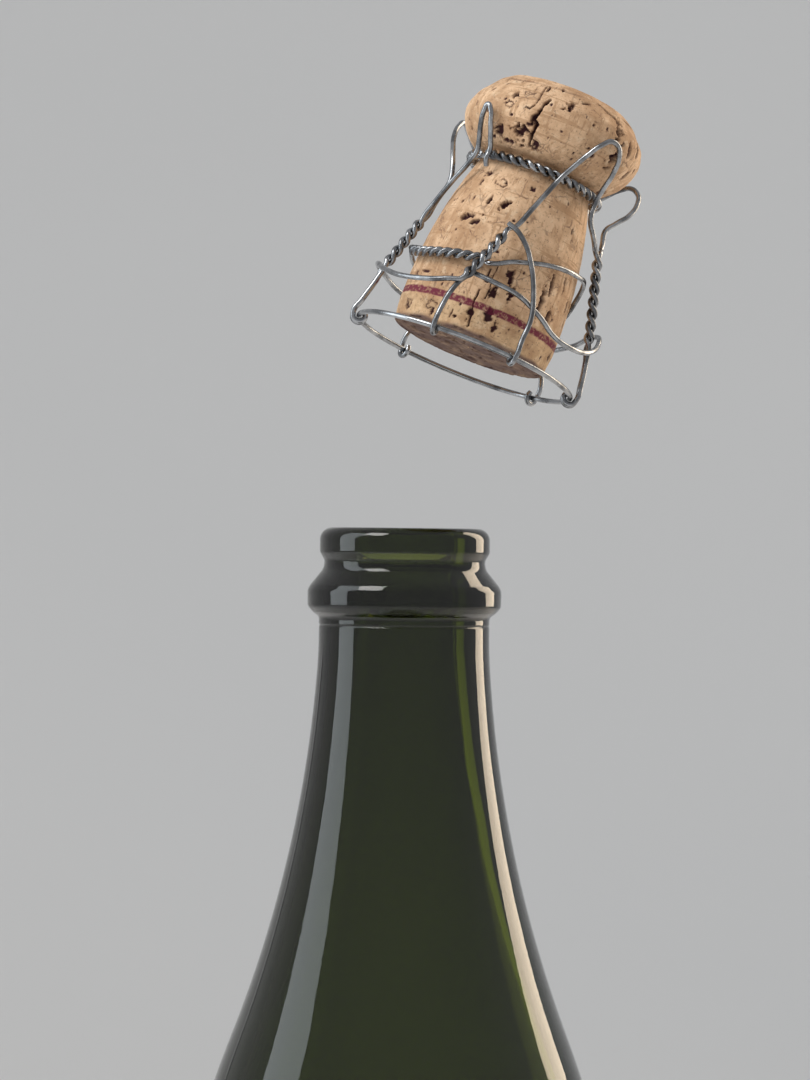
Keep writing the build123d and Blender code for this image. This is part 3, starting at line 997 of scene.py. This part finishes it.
@dataclass
class CorkSkin:
    """The points of one cork piece, with how deep and how dark its pits make them."""

    radius: Array
    angle: Array
    height: Array

    def __post_init__(self) -> None:
        """Starts with a whole and clean skin."""
        self.place = in_space(self.radius, self.angle, self.height)
        self.rough = layered_noise(self.place, 0.0007, 5, 3)
        self.level = self.height * METRE
        self.depth = np.zeros(len(self.angle))
        self.dark = np.zeros(len(self.angle))

    def sink(self, near: Array, depth: Array, dark: Array) -> None:
        """Deepens and darkens some of the points where that is more than they have.

        Args:
            near: mask of the points.
            depth: depth of each of them, in millimetres.
            dark: darkness of each of them, from 0 to 1.
        """
        self.depth[near] = np.maximum(self.depth[near], depth * MM)
        self.dark[near] = np.maximum(self.dark[near], dark)

    def sink_pore(self, pore: Pore) -> None:
        """Sinks one pore.

        Args:
            pore: the pore.
        """
        near = np.abs(self.level - pore.height) < 2.2 * max(pore.width, pore.length)
        across = turn_from(self.angle[near], from_front(pore.azimuth)) * self.radius[near] * METRE
        up = self.level[near] - pore.height
        slant = radians(pore.slant)
        x = (across * cos(slant) + up * sin(slant)) / pore.width
        y = (up * cos(slant) - across * sin(slant)) / pore.length
        away = np.hypot(x, y) + self.rough[near] * pore.ragged * 1.5
        share, shade = 1 - ramp(away, 0.55, 1.0), 1 - ramp(away, 0.62, 1.0)
        if pore.outlined:
            share = shade = 1 - ramp(np.abs(away - 0.8), 0.0, 0.24)
        self.sink(near, share * pore.depth, shade)

    def sink_crack(self, crack: Crack) -> None:
        """Sinks one crack, stretch by stretch.

        Args:
            crack: the crack.
        """
        for one, two in zip(crack.places, crack.places[1:]):
            start = np.array([from_front(one[0]), one[1]])
            end = np.array([from_front(two[0]), two[1]])
            middle = (start + end) / 2
            turn = turn_from(self.angle, middle[0])
            near = (np.abs(self.level - middle[1]) < 4) & (np.abs(turn) < 0.4)
            scale = self.radius[near] * METRE
            x, y = turn[near] * scale, self.level[near] - middle[1]
            half_x, half_y = (end[0] - start[0]) / 2 * scale, (end[1] - start[1]) / 2
            along = np.clip((x * half_x + y * half_y) / (half_x**2 + half_y**2), -1, 1)
            away = np.hypot(x - along * half_x, y - along * half_y) / (crack.width / 2)
            away = away + self.rough[near] * 0.9
            self.sink(near, (1 - ramp(away, 0.35, 1.1)) * crack.depth, 1 - ramp(away, 0.6, 1.15))

    def worn_foot(self) -> Array:
        """Darkens the foot's holes.

        Returns:
            Depth in metres, at each point, of the foot's holes, waves and chipped rim.
        """
        foot = (self.height < 1e-6).astype(float)
        holes = ramp(layered_noise(self.place, 0.0009, 31, 3), 0.3, 0.5) * foot
        self.dark = np.maximum(self.dark, holes * 0.9)
        waves = 1 + lattice_noise(self.place, 0.0025, 6)
        rim = ramp(self.radius, 0.0125, 0.0136) * (1 - ramp(self.height, 0.0002, 0.0012))
        chips = ramp(layered_noise(self.place, 0.0016, 62, 2), 0.25, 0.6) * rim
        return holes * 0.0007 + foot * 0.00012 * waves + chips * 0.0006

    def creased_crown(self, level: float) -> Array:
        """Darkens the crease round the crown.

        Args:
            level: height of the crease.

        Returns:
            Depth in metres of the crease at each point.
        """
        away = self.height - level + 0.0003 * lattice_noise(self.place, 0.003, 18)
        broken = ramp(lattice_noise(self.place, 0.0045, 15), -0.3, 0.5)
        crease = (1 - ramp(np.abs(away), 0.0, 0.00028)) * broken
        self.dark = np.maximum(self.dark, crease * 0.7)
        return crease * 0.00035


@dataclass
class Cork:
    """The popped cork: the body with its mushroom head, and the disc at its foot."""

    flight: Flight
    foot_radius: float = 0.0137
    foot_bevel: float = 0.0005
    cork_radius: float = 0.0141
    waist_radius: float = 0.0102
    collar: Point = (0.01012, 0.0324)
    head: Point = (0.0162, 0.0398)
    head_top: Point = (0.0155, 0.0426)
    crown_radius: float = 0.0116
    crown_height: float = 0.0464
    height: float = 0.0475
    seam: float = 0.0062
    crease_level: float = 0.0451
    around: int = 560
    gap: float = 0.00019
    coarse_gap: float = 0.0006
    edge: float = 0.00004
    band_level: float = 0.0051
    band_width: float = 0.00125
    back_pores: int = 120
    front_specks: int = 90
    seed: int = 41

    def side(self) -> Profile:
        """Gives the cork's side from the foot's edge to the crown's edge.

        Returns:
            Radius and height of each point.
        """
        side = arc_chain(
            (self.foot_radius - self.foot_bevel, 0.0),
            ((self.foot_radius, 0.0009), (1, 0.2), 6),
            ((self.cork_radius, 0.004), None, 1),
            ((self.cork_radius, 0.008), None, 1),
            ((self.waist_radius, 0.0312), (0, 1), 48),
            (self.collar, None, 1),
            (self.head, (1, 0.32), 30),
            (self.head_top, (0, 1), 12),
        )
        crown = [(*self.head_top, 0), (0.0132, 0.0453, 0.0005), (self.crown_radius, self.crown_height, 0)]
        return side + eased_corners(crown)[1:]

    def outline(self, low: float, high: float) -> Profile:
        """Cuts the cork's whole outline between two heights and closes it on the axis.

        Args:
            low: lower height.
            high: upper height.

        Returns:
            Radius and height of each point, from the lower pole to the upper one.
        """
        side, edge = self.side(), self.edge
        radii, heights = zip(*side)
        start = float(np.interp(low, heights, radii))
        middle = [p for p in side if low + 1e-6 < p[1] < high - 1e-6]
        points = [(0.0, low), (start - edge, low), (start, low), (start, low + edge), *middle]
        if high >= self.height:
            rise = self.height - self.crown_height
            lean = asin(self.crown_radius / ((self.crown_radius**2 + rise**2) / (2 * rise)))
            points.append(side[-1])
            points += tangent_arc(
                (self.crown_radius, self.crown_height), (0.0, self.height), (-cos(lean), sin(lean)), 20
            )
        else:
            end = float(np.interp(high, heights, radii))
            points += [(end, high - edge), (end, high), (end - edge, high), (0.0, high)]
        return evenly(points, lambda p: self.gap if p[0] > 0.009 or p[1] < 0.001 else self.coarse_gap)

    def lopsided(self, angle: Array, height: Array) -> Array:
        """Gives the share by which the turned shape is pressed in on its sides.

        Args:
            angle: angle of each point.
            height: height of each point.

        Returns:
            A factor of at most 1 for each point's radius.
        """
        head = ramp(height, 0.0335, 0.040)
        upper = ramp(height, 0.0375, 0.0435)
        pressed = (0.012 * head + 0.062 * upper) * ramp(np.cos(angle - radians(195)), -0.2, 0.9)
        pressed += 0.03 * head * ramp(np.cos(angle - radians(75)), 0.4, 1.0)
        pressed += 0.012 * (0.5 + 0.5 * np.cos(2 * angle + 0.7)) * ramp(height, 0.002, 0.012)
        for azimuth in (-35, 30, 120, 235):
            near = np.exp(-((turn_from(angle, from_front(azimuth)) / 0.22) ** 2))
            pressed += 0.02 * near * head * (1 - ramp(height, 0.041, 0.0435))
        return 1 - pressed

    def scattered(self) -> list[Pore]:
        """Strews pits over the back, which the photograph doesn't show, and specks over the front.

        Returns:
            The pits.
        """
        chance = np.random.default_rng(self.seed)
        pores = []
        for _ in range(self.back_pores):
            azimuth, height, size = chance.uniform(62, 280), chance.uniform(1.0, 45.0), chance.uniform(0.16, 0.62)
            if chance.random() < 0.55:
                width, length = size, size * chance.uniform(1.4, 3.2)
            else:
                width, length = size * chance.uniform(1.2, 2.6), size
            slant, ragged = chance.uniform(-20, 20), chance.uniform(0.6, 1.0)
            pores.append(Pore(azimuth, height, width, length, size * 1.1, slant, ragged))
        for _ in range(self.front_specks):
            size = chance.uniform(0.1, 0.22)
            azimuth, height = chance.uniform(-85, 62), chance.uniform(1, 45)
            pores.append(Pore(azimuth, height, size, size * chance.uniform(0.8, 2.2), size, 0.0, 0.8))
        return pores

    def outward(self, outline: Profile) -> tuple[Array, Array]:
        """Gives the direction away from the cork at each point of the rings.

        Args:
            outline: the piece's outline.

        Returns:
            The direction's share away from the axis, and its share upward.
        """
        along = np.gradient(np.array(outline), axis=0)
        normal = np.stack([along[:, 1], -along[:, 0]], 1)
        normal /= np.maximum(np.linalg.norm(normal, axis=1, keepdims=True), 1e-12)
        return np.repeat(normal[1:-1, 0], self.around), np.repeat(normal[1:-1, 1], self.around)

    def add_masks(self, mesh: bpy.types.Mesh, skin: CorkSkin) -> None:
        """Stores the pits', the band's and the foot's stain-and-painted-shade masks on a piece.

        Args:
            mesh: the piece's mesh.
            skin: its points.
        """
        place, half = skin.place, self.band_width / 2
        waver = lattice_noise(place, 0.006, 3) * 0.00012 + lattice_noise(place, 0.0007, 12) * 0.00011
        band = 1 - ramp(np.abs(skin.height - self.band_level + waver), half - 0.0001, half + 0.0001)
        # the foot face and its lowest edge: the wine stain and the painted shade of the downturned foot, in one mask
        stain = 1 - ramp(skin.height + lattice_noise(place, 0.003, 8) * 0.0004, 0.0002, 0.0011)
        add_mask(mesh, "pit", skin.dark)
        add_mask(mesh, "band", band * (skin.radius > self.foot_radius * 0.95))
        add_mask(mesh, "stain", stain)

    def section(self, name: str, low: float, high: float, node: str, slot: Slot) -> bpy.types.Object:
        """Builds one of the cork's two pieces.

        Args:
            name: the piece's name.
            low: height of its lower face.
            high: height of its upper face.
            node: the CAD node that it stands for.
            slot: the record's slot of its finish.

        Returns:
            The piece.
        """
        outline = self.outline(low, high)
        shape = TurnedShape(outline, np.linspace(0, 2 * pi, self.around, endpoint=False))
        radius, angle, height = shape.rings()
        skin = CorkSkin(radius * self.lopsided(angle, height), angle, height)
        for pore in [*FRONT_PORES, *self.scattered()]:
            skin.sink_pore(pore)
        for crack in FRONT_CRACKS:
            skin.sink_crack(crack)
        out, up = self.outward(outline)
        at_seam = np.abs(height - self.seam)
        joint = (at_seam < 1e-6) & (skin.radius < self.foot_radius * 0.97)
        flat = joint | (np.abs(up) > 0.97) & (height < 0.001)
        rim = (at_seam < 0.00005) & ~joint
        out, up = np.where(rim, 1.0, out), np.where(rim, 0.0, up)
        skin.depth[flat] = skin.dark[flat] = 0.0
        grain = 0.00006 * (1 + layered_noise(skin.place, 0.0011, 77, 3))
        bumps = 0.00004 * ramp(lattice_noise(skin.place, 0.00035, 9), 0.2, 0.9)
        sink = skin.depth + np.where(joint, 0.0, grain) + bumps
        sink = sink + (skin.worn_foot() if slot is Slot.STAINED else skin.creased_crown(self.crease_level))
        local = in_space(skin.radius - out * sink, angle, height - up * sink)
        matrix = self.flight.matrix()
        turn = np.array(matrix)
        points = local @ turn[:3, :3].T + turn[:3, 3]
        mesh = shape.mesh(name + "_mesh", points, [matrix @ pole for pole in shape.poles()])
        self.add_masks(mesh, skin)
        return new_piece(name, mesh, "cork", node)

    def build(self) -> None:
        """Builds the body and the disc."""
        body = self.section("cork_shank_and_head", self.seam, self.height, "cork_body", Slot.CORK)
        body.data.materials.append(CorkFinish("natural_cork").make(self.flight.place))
        disc = self.section("cork_foot_disc", 0.0, self.seam, "cork_disc", Slot.STAINED)
        disc.data.materials.append(CorkFinish("disc_cork", pale=(0.72, 0.49, 0.29), lines=0.35).make(self.flight.place))


# The wire cage


@dataclass
class WireCage:
    """The cage's wires, which keep their CAD shape and get their finish here."""

    finishes: tuple[tuple[str, str, float], ...] = (
        ("hoop_wire_front_left", "hoop_steel", 0.45),
        ("hoop_wire_front_right", "hoop_steel_dark", 0.6),
        ("hoop_wire_back_right", "hoop_steel_back", 0.5),
        ("hoop_wire_back_left", "hoop_steel_left", 0.35),
        ("neck_ring_wire_first", "neck_ring_steel", 0.4),
        ("neck_ring_wire_second", "neck_ring_steel_dark", 0.6),
        ("upper_belt_wire", "belt_steel", 0.5),
        ("lower_belt_wire", "lower_belt_steel", 0.4),
        ("bottom_ring_wire", "bottom_ring_steel", 0.3),
        ("latch_bow_wire", "latch_steel", 0.75),
    )

    def dress(self) -> None:
        """Gives every wire its finish, by node, name and dullness."""
        for node, name, dullness in self.finishes:
            materials = frame["nodes"][node].data.materials
            materials.clear()
            materials.append(WireFinish(name, dullness).make())
            LOG.info("%s dressed as %s", node, name)


# The studio


@dataclass(frozen=True)
class Lamp:
    """A soft rectangular lamp: where it hangs, its two sides, its watts and its tone."""

    name: str
    spot: Triple
    sides: Point
    power: float
    tone: Triple

    def hang(self, target: Vector) -> None:
        """Adds the lamp to the scene.

        Args:
            target: the place that it lights.
        """
        data = bpy.data.lights.new(self.name, "AREA")
        data.shape = "RECTANGLE"
        data.size, data.size_y = self.sides
        data.energy = self.power
        data.color = self.tone
        lamp = bpy.data.objects.new(self.name, data)
        lamp.location = self.spot
        lamp.rotation_euler = (Vector(self.spot) - target).to_track_quat("Z", "Y").to_euler()
        bpy.context.scene.collection.objects.link(lamp)


@dataclass
class Studio:
    """Pale paper sweep, soft lamps and the camera of the photograph."""

    distance: float = 0.700
    eye_level: float = 0.28596
    pixels_per_metre: float = 5870.0
    frame_height: float = 1080.0
    sensor: float = 36.0
    roll: float = radians(0.65)
    floor_ends: Point = (-3.0, 1.4)
    sweep_round: float = 1.0
    sweep_height: float = 4.0
    half_width: float = 4.0
    target: Triple = (0.0, 0.0, 0.30)
    room_light: float = 0.58
    room_shade: float = 0.46
    lamps: tuple[Lamp, ...] = (
        Lamp("key", (-0.52, -0.42, 1.06), (0.45, 0.45), 4.5, (1.0, 0.98, 0.95)),
        Lamp("left_strip", (-0.8, -0.08, 0.58), (0.42, 0.88), 2.7, (0.88, 0.96, 1.0)),
        Lamp("right_strip", (0.75, 0.48, 0.58), (0.36, 0.88), 5.4, (1.0, 0.83, 0.62)),
    )

    def paper(self) -> None:
        """Builds the floor and the sweep that rises behind."""
        front, back = self.floor_ends
        wall = back + self.sweep_round
        run = arc_chain(
            (front, 0.0),
            ((back, 0.0), None, 1),
            ((wall, self.sweep_round), (1, 0), 24),
            ((wall, self.sweep_height), None, 1),
        )
        points = [(x, *place) for x in (-self.half_width, self.half_width) for place in run]
        count = len(run)
        faces = [(k, k + 1, count + k + 1, count + k) for k in range(count - 1)]
        mesh = bpy.data.meshes.new("paper_sweep")
        mesh.from_pydata(points, [], faces)
        mesh.polygons.foreach_set("use_smooth", [True] * len(mesh.polygons))
        mesh.materials.append(StudioFinish().make())
        sweep = bpy.data.objects.new("paper_sweep", mesh)
        bpy.context.scene.collection.objects.link(sweep)

    def room(self) -> None:
        """Adds the even light of the room, a little darker where it is seen than where it lights."""
        world = bpy.data.worlds.new("even_room")
        world.use_nodes = True
        nodes = Nodes(world.node_tree)
        rays = nodes.add("LightPath", {}).outputs
        seen = nodes.maths("ADD", rays["Is Camera Ray"], rays["Is Glossy Ray"])
        seen = nodes.maths("ADD", seen, rays["Is Transmission Ray"], clamp=True)
        back = nodes.tree.nodes["Background"].inputs
        nodes.feed(back["Color"], (1.0, 1.0, 1.0))
        nodes.feed(back["Strength"], nodes.band(seen, 0.0, 1.0, self.room_light, self.room_shade))
        bpy.context.scene.world = world

    def camera(self) -> None:
        """Sets the camera at the photograph's angle and framing."""
        data = bpy.data.cameras.new("photo_camera")
        data.sensor_width = self.sensor
        data.lens = self.pixels_per_metre * self.distance / self.frame_height * self.sensor
        data.clip_start, data.clip_end = 0.02, 30.0
        eye = bpy.data.objects.new("photo_camera", data)
        level = Matrix.Rotation(radians(90), 4, "X") @ Matrix.Rotation(self.roll, 4, "Z")
        eye.matrix_world = Matrix.Translation((0.0, -self.distance, self.eye_level)) @ level
        bpy.context.scene.collection.objects.link(eye)
        bpy.context.scene.camera = eye

    def build(self) -> None:
        """Builds the whole studio."""
        self.camera()
        self.paper()
        self.room()
        for lamp in self.lamps:
            lamp.hang(Vector(self.target))
        bpy.context.scene.view_settings.view_transform = "Standard"


def main() -> None:
    """Builds the studio, the bottle, the cork and the cage."""
    logging.basicConfig(level=logging.INFO, format="%(name)s %(message)s")
    Studio().build()
    CorkCells().build()
    MetalWear().build()
    GlassBottle().build()
    Cork(Flight.from_joint("cage_spin")).build()
    WireCage().dress()


if __name__ == "__main__":
    main()
